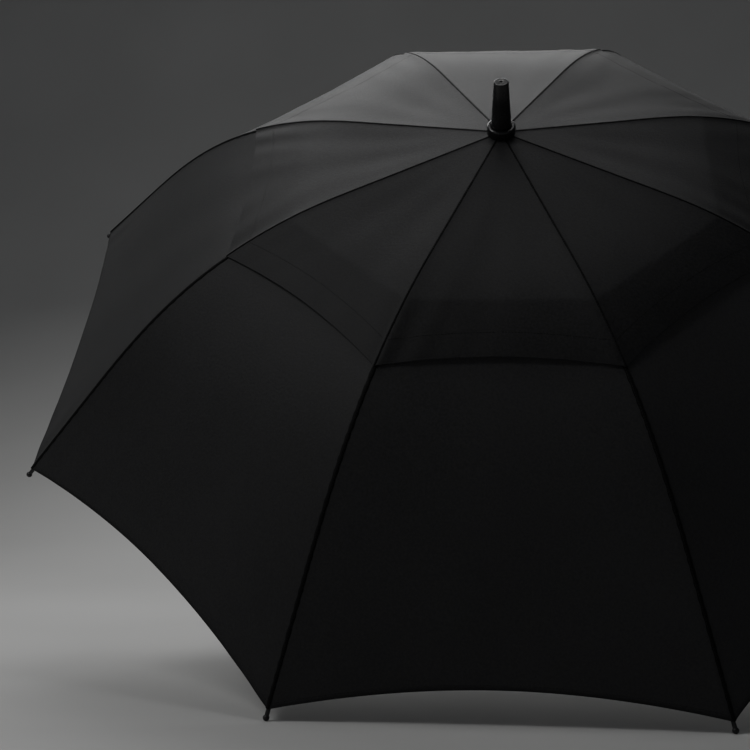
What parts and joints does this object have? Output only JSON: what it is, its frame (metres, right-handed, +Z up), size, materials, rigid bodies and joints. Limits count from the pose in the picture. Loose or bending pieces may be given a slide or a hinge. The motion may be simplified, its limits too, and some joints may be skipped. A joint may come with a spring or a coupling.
{
  "type": "golf umbrella",
  "caption": "Large vented golf umbrella, open, with a double black canopy, a tapered ferrule, folding ribs and stretchers, a sliding runner and a straight foam handle.",
  "frame": {"origin": "centre of the bounding box on the plane that two rib tips and the handle end rest on", "axes": "+Z up, +X along the canopy's width, -Y the side that the ferrule leans to"},
  "size_m": [1.1818, 0.863, 0.858],
  "materials": {
    "fabric": "tightly woven black polyester, slight sheen",
    "fibreglass": "dark grey fibreglass rod, satin",
    "black_plastic": "moulded black plastic, satin gloss",
    "steel": "plated spring steel and wire",
    "foam": "matt black foam grip"
  },
  "bodies": {
    "shaft": {"shaft_tube": "fibreglass", "ferrule": "black_plastic", "top_cap": "black_plastic", "crown": "black_plastic", "crown_wire": "steel", "handle_grip": "foam", "handle_end_cap": "black_plastic"},
    "runner": {"runner": "black_plastic", "runner_wire": "steel"},
    "top_catch": {"top_catch": "steel"},
    "bottom_catch": {"bottom_catch": "steel"},
    "rib_1": {"rib_inner_1": "fibreglass", "upper_gore_1": "fabric"},
    "rib_end_1": {"rib_outer_1": "fibreglass", "rib_tip_1": "black_plastic", "lower_gore_1": "fabric"},
    "stretcher_1": {"stretcher_1": "fibreglass"},
    "rib_2": {"rib_inner_2": "fibreglass", "upper_gore_2": "fabric"},
    "rib_end_2": {"rib_outer_2": "fibreglass", "rib_tip_2": "black_plastic", "lower_gore_2": "fabric", "tie_strap": "fabric"},
    "stretcher_2": {"stretcher_2": "fibreglass"},
    "rib_3": {"rib_inner_3": "fibreglass", "upper_gore_3": "fabric"},
    "rib_end_3": {"rib_outer_3": "fibreglass", "rib_tip_3": "black_plastic", "lower_gore_3": "fabric"},
    "stretcher_3": {"stretcher_3": "fibreglass"},
    "rib_4": {"rib_inner_4": "fibreglass", "upper_gore_4": "fabric"},
    "rib_end_4": {"rib_outer_4": "fibreglass", "rib_tip_4": "black_plastic", "lower_gore_4": "fabric"},
    "stretcher_4": {"stretcher_4": "fibreglass"},
    "rib_5": {"rib_inner_5": "fibreglass", "upper_gore_5": "fabric"},
    "rib_end_5": {"rib_outer_5": "fibreglass", "rib_tip_5": "black_plastic", "lower_gore_5": "fabric"},
    "stretcher_5": {"stretcher_5": "fibreglass"},
    "rib_6": {"rib_inner_6": "fibreglass", "upper_gore_6": "fabric"},
    "rib_end_6": {"rib_outer_6": "fibreglass", "rib_tip_6": "black_plastic", "lower_gore_6": "fabric"},
    "stretcher_6": {"stretcher_6": "fibreglass"},
    "rib_7": {"rib_inner_7": "fibreglass", "upper_gore_7": "fabric"},
    "rib_end_7": {"rib_outer_7": "fibreglass", "rib_tip_7": "black_plastic", "lower_gore_7": "fabric"},
    "stretcher_7": {"stretcher_7": "fibreglass"},
    "rib_8": {"rib_inner_8": "fibreglass", "upper_gore_8": "fabric"},
    "rib_end_8": {"rib_outer_8": "fibreglass", "rib_tip_8": "black_plastic", "lower_gore_8": "fabric"},
    "stretcher_8": {"stretcher_8": "fibreglass"}
  },
  "joints": [
    {"name": "runner_slide", "type": "slide", "parent": "shaft", "child": "runner", "axis": [0, 0.7181, -0.6959], "range_m": [0, 0.44175], "deforming": ["top_catch", "bottom_catch", "tie_strap", "upper_gore_1", "upper_gore_2", "upper_gore_3", "upper_gore_4", "upper_gore_5", "upper_gore_6", "upper_gore_7", "upper_gore_8", "lower_gore_1", "lower_gore_2", "lower_gore_3", "lower_gore_4", "lower_gore_5", "lower_gore_6", "lower_gore_7", "lower_gore_8"]},
    {"name": "rib_hinge_1", "type": "hinge", "parent": "shaft", "child": "rib_1", "pos_m": [0.01109, -0.2402, 0.65819], "axis": [-0.3827, 0.643, 0.6634], "range_deg": [0, 73.89]},
    {"name": "rib_flex_1", "type": "hinge", "parent": "rib_1", "child": "rib_end_1", "pos_m": [0.31691, -0.09757, 0.69637], "axis": [-0.3827, 0.643, 0.6634], "range_deg": [-26.75, 0]},
    {"name": "stretcher_hinge_1", "type": "hinge", "parent": "runner", "child": "stretcher_1", "pos_m": [0.01201, -0.05825, 0.48239], "axis": [-0.3827, 0.643, 0.6634], "range_deg": [-62.15, 0]},
    {"name": "rib_hinge_2", "type": "hinge", "parent": "shaft", "child": "rib_2", "pos_m": [0.00459, -0.23568, 0.66285], "axis": [-0.9239, 0.2663, 0.2748], "range_deg": [0, 73.89]},
    {"name": "rib_flex_2", "type": "hinge", "parent": "rib_2", "child": "rib_end_2", "pos_m": [0.13127, 0.03162, 0.82968], "axis": [-0.9239, 0.2663, 0.2748], "range_deg": [-26.75, 0]},
    {"name": "stretcher_hinge_2", "type": "hinge", "parent": "runner", "child": "stretcher_2", "pos_m": [0.00498, -0.05336, 0.48744], "axis": [-0.9239, 0.2663, 0.2748], "range_deg": [-62.15, 0]},
    {"name": "rib_hinge_3", "type": "hinge", "parent": "shaft", "child": "rib_3", "pos_m": [-0.00459, -0.23568, 0.66285], "axis": [-0.9239, -0.2663, -0.2748], "range_deg": [0, 73.89]},
    {"name": "rib_flex_3", "type": "hinge", "parent": "rib_3", "child": "rib_end_3", "pos_m": [-0.13127, 0.03162, 0.82968], "axis": [-0.9239, -0.2663, -0.2748], "range_deg": [-26.75, 0]},
    {"name": "stretcher_hinge_3", "type": "hinge", "parent": "runner", "child": "stretcher_3", "pos_m": [-0.00498, -0.05336, 0.48744], "axis": [-0.9239, -0.2663, -0.2748], "range_deg": [-62.15, 0]},
    {"name": "rib_hinge_4", "type": "hinge", "parent": "shaft", "child": "rib_4", "pos_m": [-0.01109, -0.2402, 0.65819], "axis": [-0.3827, -0.643, -0.6634], "range_deg": [0, 73.89]},
    {"name": "rib_flex_4", "type": "hinge", "parent": "rib_4", "child": "rib_end_4", "pos_m": [-0.31691, -0.09757, 0.69637], "axis": [-0.3827, -0.643, -0.6634], "range_deg": [-26.75, 0]},
    {"name": "stretcher_hinge_4", "type": "hinge", "parent": "runner", "child": "stretcher_4", "pos_m": [-0.01201, -0.05825, 0.48239], "axis": [-0.3827, -0.643, -0.6634], "range_deg": [-62.15, 0]},
    {"name": "rib_hinge_5", "type": "hinge", "parent": "shaft", "child": "rib_5", "pos_m": [-0.01109, -0.24659, 0.65159], "axis": [0.3827, -0.643, -0.6634], "range_deg": [0, 73.89]},
    {"name": "rib_flex_5", "type": "hinge", "parent": "rib_5", "child": "rib_end_5", "pos_m": [-0.31691, -0.28029, 0.50784], "axis": [0.3827, -0.643, -0.6634], "range_deg": [-26.75, 0]},
    {"name": "stretcher_hinge_5", "type": "hinge", "parent": "runner", "child": "stretcher_5", "pos_m": [-0.01201, -0.06518, 0.47524], "axis": [0.3827, -0.643, -0.6634], "range_deg": [-62.15, 0]},
    {"name": "rib_hinge_6", "type": "hinge", "parent": "shaft", "child": "rib_6", "pos_m": [-0.00459, -0.25111, 0.64693], "axis": [0.9239, -0.2663, -0.2748], "range_deg": [0, 73.89]},
    {"name": "rib_flex_6", "type": "hinge", "parent": "rib_6", "child": "rib_end_6", "pos_m": [-0.13127, -0.40948, 0.37454], "axis": [0.9239, -0.2663, -0.2748], "range_deg": [-26.75, 0]},
    {"name": "stretcher_hinge_6", "type": "hinge", "parent": "runner", "child": "stretcher_6", "pos_m": [-0.00498, -0.07007, 0.47019], "axis": [0.9239, -0.2663, -0.2748], "range_deg": [-62.15, 0]},
    {"name": "rib_hinge_7", "type": "hinge", "parent": "shaft", "child": "rib_7", "pos_m": [0.00459, -0.25111, 0.64693], "axis": [0.9239, 0.2663, 0.2748], "range_deg": [0, 73.89]},
    {"name": "rib_flex_7", "type": "hinge", "parent": "rib_7", "child": "rib_end_7", "pos_m": [0.13127, -0.40948, 0.37454], "axis": [0.9239, 0.2663, 0.2748], "range_deg": [-26.75, 0]},
    {"name": "stretcher_hinge_7", "type": "hinge", "parent": "runner", "child": "stretcher_7", "pos_m": [0.00498, -0.07007, 0.47019], "axis": [0.9239, 0.2663, 0.2748], "range_deg": [-62.15, 0]},
    {"name": "rib_hinge_8", "type": "hinge", "parent": "shaft", "child": "rib_8", "pos_m": [0.01109, -0.24659, 0.65159], "axis": [0.3827, 0.643, 0.6634], "range_deg": [0, 73.89]},
    {"name": "rib_flex_8", "type": "hinge", "parent": "rib_8", "child": "rib_end_8", "pos_m": [0.31691, -0.28029, 0.50784], "axis": [0.3827, 0.643, 0.6634], "range_deg": [-26.75, 0]},
    {"name": "stretcher_hinge_8", "type": "hinge", "parent": "runner", "child": "stretcher_8", "pos_m": [0.01201, -0.06518, 0.47524], "axis": [0.3827, 0.643, 0.6634], "range_deg": [-62.15, 0]},
    {"name": "top_catch_press", "type": "slide", "parent": "shaft", "child": "top_catch", "axis": [-1, 0, 0], "range_m": [0, 0.0032], "stiffness_N_per_m": 600, "springref_m": -0.002},
    {"name": "bottom_catch_press", "type": "slide", "parent": "shaft", "child": "bottom_catch", "axis": [-1, 0, 0], "range_m": [0, 0.0032], "stiffness_N_per_m": 600, "springref_m": -0.002}
  ],
  "couplings": [
    {"joint": "rib_hinge_1", "follows": "runner_slide", "rad_per_m": 2.9191},
    {"joint": "rib_flex_1", "follows": "runner_slide", "rad_per_m": -1.0565},
    {"joint": "stretcher_hinge_1", "follows": "runner_slide", "rad_per_m": -2.4552},
    {"joint": "rib_hinge_2", "follows": "runner_slide", "rad_per_m": 2.9191},
    {"joint": "rib_flex_2", "follows": "runner_slide", "rad_per_m": -1.0565},
    {"joint": "stretcher_hinge_2", "follows": "runner_slide", "rad_per_m": -2.4552},
    {"joint": "rib_hinge_3", "follows": "runner_slide", "rad_per_m": 2.9191},
    {"joint": "rib_flex_3", "follows": "runner_slide", "rad_per_m": -1.0565},
    {"joint": "stretcher_hinge_3", "follows": "runner_slide", "rad_per_m": -2.4552},
    {"joint": "rib_hinge_4", "follows": "runner_slide", "rad_per_m": 2.9191},
    {"joint": "rib_flex_4", "follows": "runner_slide", "rad_per_m": -1.0565},
    {"joint": "stretcher_hinge_4", "follows": "runner_slide", "rad_per_m": -2.4552},
    {"joint": "rib_hinge_5", "follows": "runner_slide", "rad_per_m": 2.9191},
    {"joint": "rib_flex_5", "follows": "runner_slide", "rad_per_m": -1.0565},
    {"joint": "stretcher_hinge_5", "follows": "runner_slide", "rad_per_m": -2.4552},
    {"joint": "rib_hinge_6", "follows": "runner_slide", "rad_per_m": 2.9191},
    {"joint": "rib_flex_6", "follows": "runner_slide", "rad_per_m": -1.0565},
    {"joint": "stretcher_hinge_6", "follows": "runner_slide", "rad_per_m": -2.4552},
    {"joint": "rib_hinge_7", "follows": "runner_slide", "rad_per_m": 2.9191},
    {"joint": "rib_flex_7", "follows": "runner_slide", "rad_per_m": -1.0565},
    {"joint": "stretcher_hinge_7", "follows": "runner_slide", "rad_per_m": -2.4552},
    {"joint": "rib_hinge_8", "follows": "runner_slide", "rad_per_m": 2.9191},
    {"joint": "rib_flex_8", "follows": "runner_slide", "rad_per_m": -1.0565},
    {"joint": "stretcher_hinge_8", "follows": "runner_slide", "rad_per_m": -2.4552}
  ]
}
